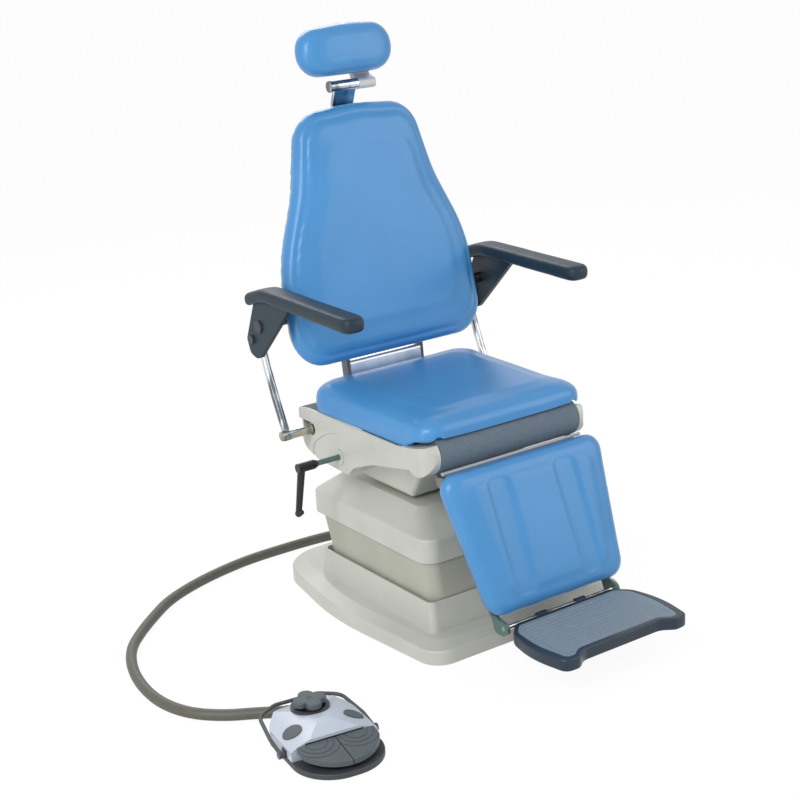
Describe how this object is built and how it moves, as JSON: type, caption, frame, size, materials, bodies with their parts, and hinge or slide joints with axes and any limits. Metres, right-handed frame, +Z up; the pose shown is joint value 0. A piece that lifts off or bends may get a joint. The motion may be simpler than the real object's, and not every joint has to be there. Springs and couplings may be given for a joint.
{
  "type": "ear nose throat chair",
  "caption": "Powered examination chair with blue upholstery, telescoping lift base, swivel, reclining back, level armrests, headrest, legrest, footrest and corded foot control.",
  "frame": {"origin": "on the floor under the swivel axis", "axes": "+Z up; the person in the chair looks along -Y; +X is their left-hand side"},
  "size_m": [1.2843, 1.2155, 1.4495],
  "materials": {
    "cover_cream": "satin moulded cover",
    "cover_beige": "satin moulded cover, a shade darker",
    "steel_grey": "semi-matt paint",
    "guide_plastic": "plain moulded",
    "bolt_steel": "zinc plated",
    "rubber_black": "matt",
    "hose_rubber": "matt ribbed sleeve",
    "gland_plastic": "moulded",
    "upholstery_blue": "semi-gloss vinyl",
    "board_black": "plain",
    "shell_cream": "satin moulded cover",
    "bar_grey": "satin paint",
    "chrome": "polished",
    "stud_steel": "bright plated",
    "teal_paint": "satin paint",
    "black_plastic": "moulded",
    "ivory_plastic": "moulded",
    "slate_plastic": "soft moulded, satin",
    "band_grey": "fine ribbed band",
    "piping_pale": "satin",
    "tray_slate": "moulded, satin",
    "mat_grey": "ribbed, matt",
    "control_dark": "moulded",
    "control_silver": "silver moulded",
    "control_grey": "moulded",
    "bail_dark": "satin paint"
  },
  "bodies": {
    "base": {"base_cover": "cover_cream", "base_plate": "steel_grey", "column_outer": "steel_grey", "column_pads": "guide_plastic", "base_bolts": "bolt_steel", "lift_actuator": "steel_grey", "control_box": "steel_grey", "rubber_feet": "rubber_black", "hose": "hose_rubber", "hose_glands": "gland_plastic", "control_base": "control_dark", "control_shell": "control_silver", "control_bezel": "control_dark"},
    "middle_cover": {"middle_cover": "cover_beige"},
    "lift": {"upper_cover": "cover_cream", "column_inner": "steel_grey", "lift_rod": "bolt_steel", "bearing_lower": "bolt_steel"},
    "seat": {"bearing_upper": "bolt_steel", "seat_body": "cover_cream", "seat_frame": "steel_grey", "seat_cushion": "upholstery_blue", "pivot_pins": "bolt_steel", "recline_drive": "steel_grey", "leg_drive": "steel_grey", "link_studs": "stud_steel"},
    "clamp_lever": {"lock_rod": "teal_paint", "lock_handle": "black_plastic"},
    "back": {"back_cushion": "upholstery_blue", "back_board": "board_black", "back_shell": "shell_cream", "back_frame": "steel_grey", "back_crossbar": "bar_grey", "arm_shaft": "stud_steel", "post_guide": "guide_plastic"},
    "head_slide": {"head_post": "chrome"},
    "head": {"head_clamp": "ivory_plastic", "head_plate": "steel_grey", "head_cushion": "upholstery_blue"},
    "arm_left": {"arm_pad_l": "slate_plastic", "arm_bracket_l": "slate_plastic"},
    "arm_right": {"arm_pad_r": "slate_plastic", "arm_bracket_r": "slate_plastic"},
    "link_left": {"arm_link_l": "chrome"},
    "link_right": {"arm_link_r": "chrome"},
    "legrest": {"leg_cushion": "upholstery_blue", "leg_frame": "steel_grey", "leg_drum": "band_grey", "leg_trim": "piping_pale", "foot_brackets": "teal_paint", "foot_rod": "stud_steel"},
    "footrest": {"foot_frame": "tray_slate", "foot_mat": "mat_grey"},
    "stick_ring": {"joy_gimbal": "control_dark"},
    "stick": {"joy_pad": "control_grey"},
    "button_left": {"button_l": "control_grey"},
    "button_right": {"button_r": "control_grey"},
    "pedal_left": {"pedal_l": "control_grey"},
    "pedal_right": {"pedal_r": "control_grey"},
    "bail": {"control_bail": "bail_dark"}
  },
  "joints": [
    {"name": "lift_slide", "type": "slide", "parent": "base", "child": "lift", "axis": [0, 0, 1], "range_m": [-0.015, 0.1]},
    {"name": "middle_cover_slide", "type": "slide", "parent": "base", "child": "middle_cover", "axis": [0, 0, 1], "range_m": [-0.0075, 0.05]},
    {"name": "swivel", "type": "hinge", "parent": "lift", "child": "seat", "pos_m": [0, 0, 0], "axis": [0, 0, 1], "range_deg": [-170, 170]},
    {"name": "clamp_turn", "type": "hinge", "parent": "seat", "child": "clamp_lever", "pos_m": [-0.33, 0.086, 0.408], "axis": [1, 0, 0], "range_deg": [-60, 60]},
    {"name": "recline", "type": "hinge", "parent": "seat", "child": "back", "pos_m": [0, 0.168, 0.495], "axis": [-1, 0, 0], "range_deg": [-4, 55]},
    {"name": "arm_level_left", "type": "hinge", "parent": "back", "child": "arm_left", "pos_m": [0, 0.264, 0.735], "axis": [-1, 0, 0], "range_deg": [-55, 4]},
    {"name": "arm_level_right", "type": "hinge", "parent": "back", "child": "arm_right", "pos_m": [0, 0.264, 0.735], "axis": [-1, 0, 0], "range_deg": [-55, 4]},
    {"name": "link_turn_left", "type": "hinge", "parent": "seat", "child": "link_left", "pos_m": [0, 0.208, 0.454], "axis": [-1, 0, 0], "range_deg": [-4, 55]},
    {"name": "link_turn_right", "type": "hinge", "parent": "seat", "child": "link_right", "pos_m": [0, 0.208, 0.454], "axis": [-1, 0, 0], "range_deg": [-4, 55]},
    {"name": "head_height", "type": "slide", "parent": "back", "child": "head_slide", "axis": [0, 0.1994, 0.9799], "range_m": [0, 0.08]},
    {"name": "head_tilt", "type": "hinge", "parent": "head_slide", "child": "head", "pos_m": [0, 0.34799, 1.29208], "axis": [-1, 0, 0], "range_deg": [-30, 20]},
    {"name": "leg_lift", "type": "hinge", "parent": "seat", "child": "legrest", "pos_m": [0, -0.251, 0.492], "axis": [-1, 0, 0], "range_deg": [0, 64]},
    {"name": "foot_fold", "type": "hinge", "parent": "legrest", "child": "footrest", "pos_m": [0, -0.464, 0.103], "axis": [-1, 0, 0], "range_deg": [0, 55]},
    {"name": "stick_ring_tilt", "type": "hinge", "parent": "base", "child": "stick_ring", "pos_m": [-0.69098, -0.4207, 0.059], "axis": [0.9903, -0.1392, 0], "range_deg": [-6, 6], "stiffness_Nm_per_rad": 1},
    {"name": "stick_tilt", "type": "hinge", "parent": "stick_ring", "child": "stick", "pos_m": [-0.69098, -0.4207, 0.059], "axis": [0.1392, 0.9903, 0], "range_deg": [-6, 6], "stiffness_Nm_per_rad": 1},
    {"name": "button_press_left", "type": "slide", "parent": "base", "child": "button_left", "axis": [0, 0, -1], "range_m": [0, 0.003], "stiffness_N_per_m": 600, "springref_m": -0.001},
    {"name": "button_press_right", "type": "slide", "parent": "base", "child": "button_right", "axis": [0, 0, -1], "range_m": [0, 0.003], "stiffness_N_per_m": 600, "springref_m": -0.001},
    {"name": "pedal_press_left", "type": "hinge", "parent": "base", "child": "pedal_left", "pos_m": [-0.7074, -0.53755, 0.0415], "axis": [0.9903, -0.1392, 0], "range_deg": [0, 4.3], "stiffness_Nm_per_rad": 8, "springref_deg": -3.44},
    {"name": "pedal_press_right", "type": "hinge", "parent": "base", "child": "pedal_right", "pos_m": [-0.7074, -0.53755, 0.0415], "axis": [0.9903, -0.1392, 0], "range_deg": [0, 4.3], "stiffness_Nm_per_rad": 8, "springref_deg": -3.44},
    {"name": "bail_swing", "type": "hinge", "parent": "base", "child": "bail", "pos_m": [-0.70351, -0.50982, 0.02], "axis": [0.9903, -0.1392, 0], "range_deg": [0, 90]}
  ],
  "couplings": [
    {"joint": "middle_cover_slide", "follows": "lift_slide", "ratio": 0.5},
    {"joint": "arm_level_left", "follows": "recline", "ratio": -1},
    {"joint": "arm_level_right", "follows": "recline", "ratio": -1},
    {"joint": "link_turn_left", "follows": "recline", "ratio": 1},
    {"joint": "link_turn_right", "follows": "recline", "ratio": 1}
  ]
}
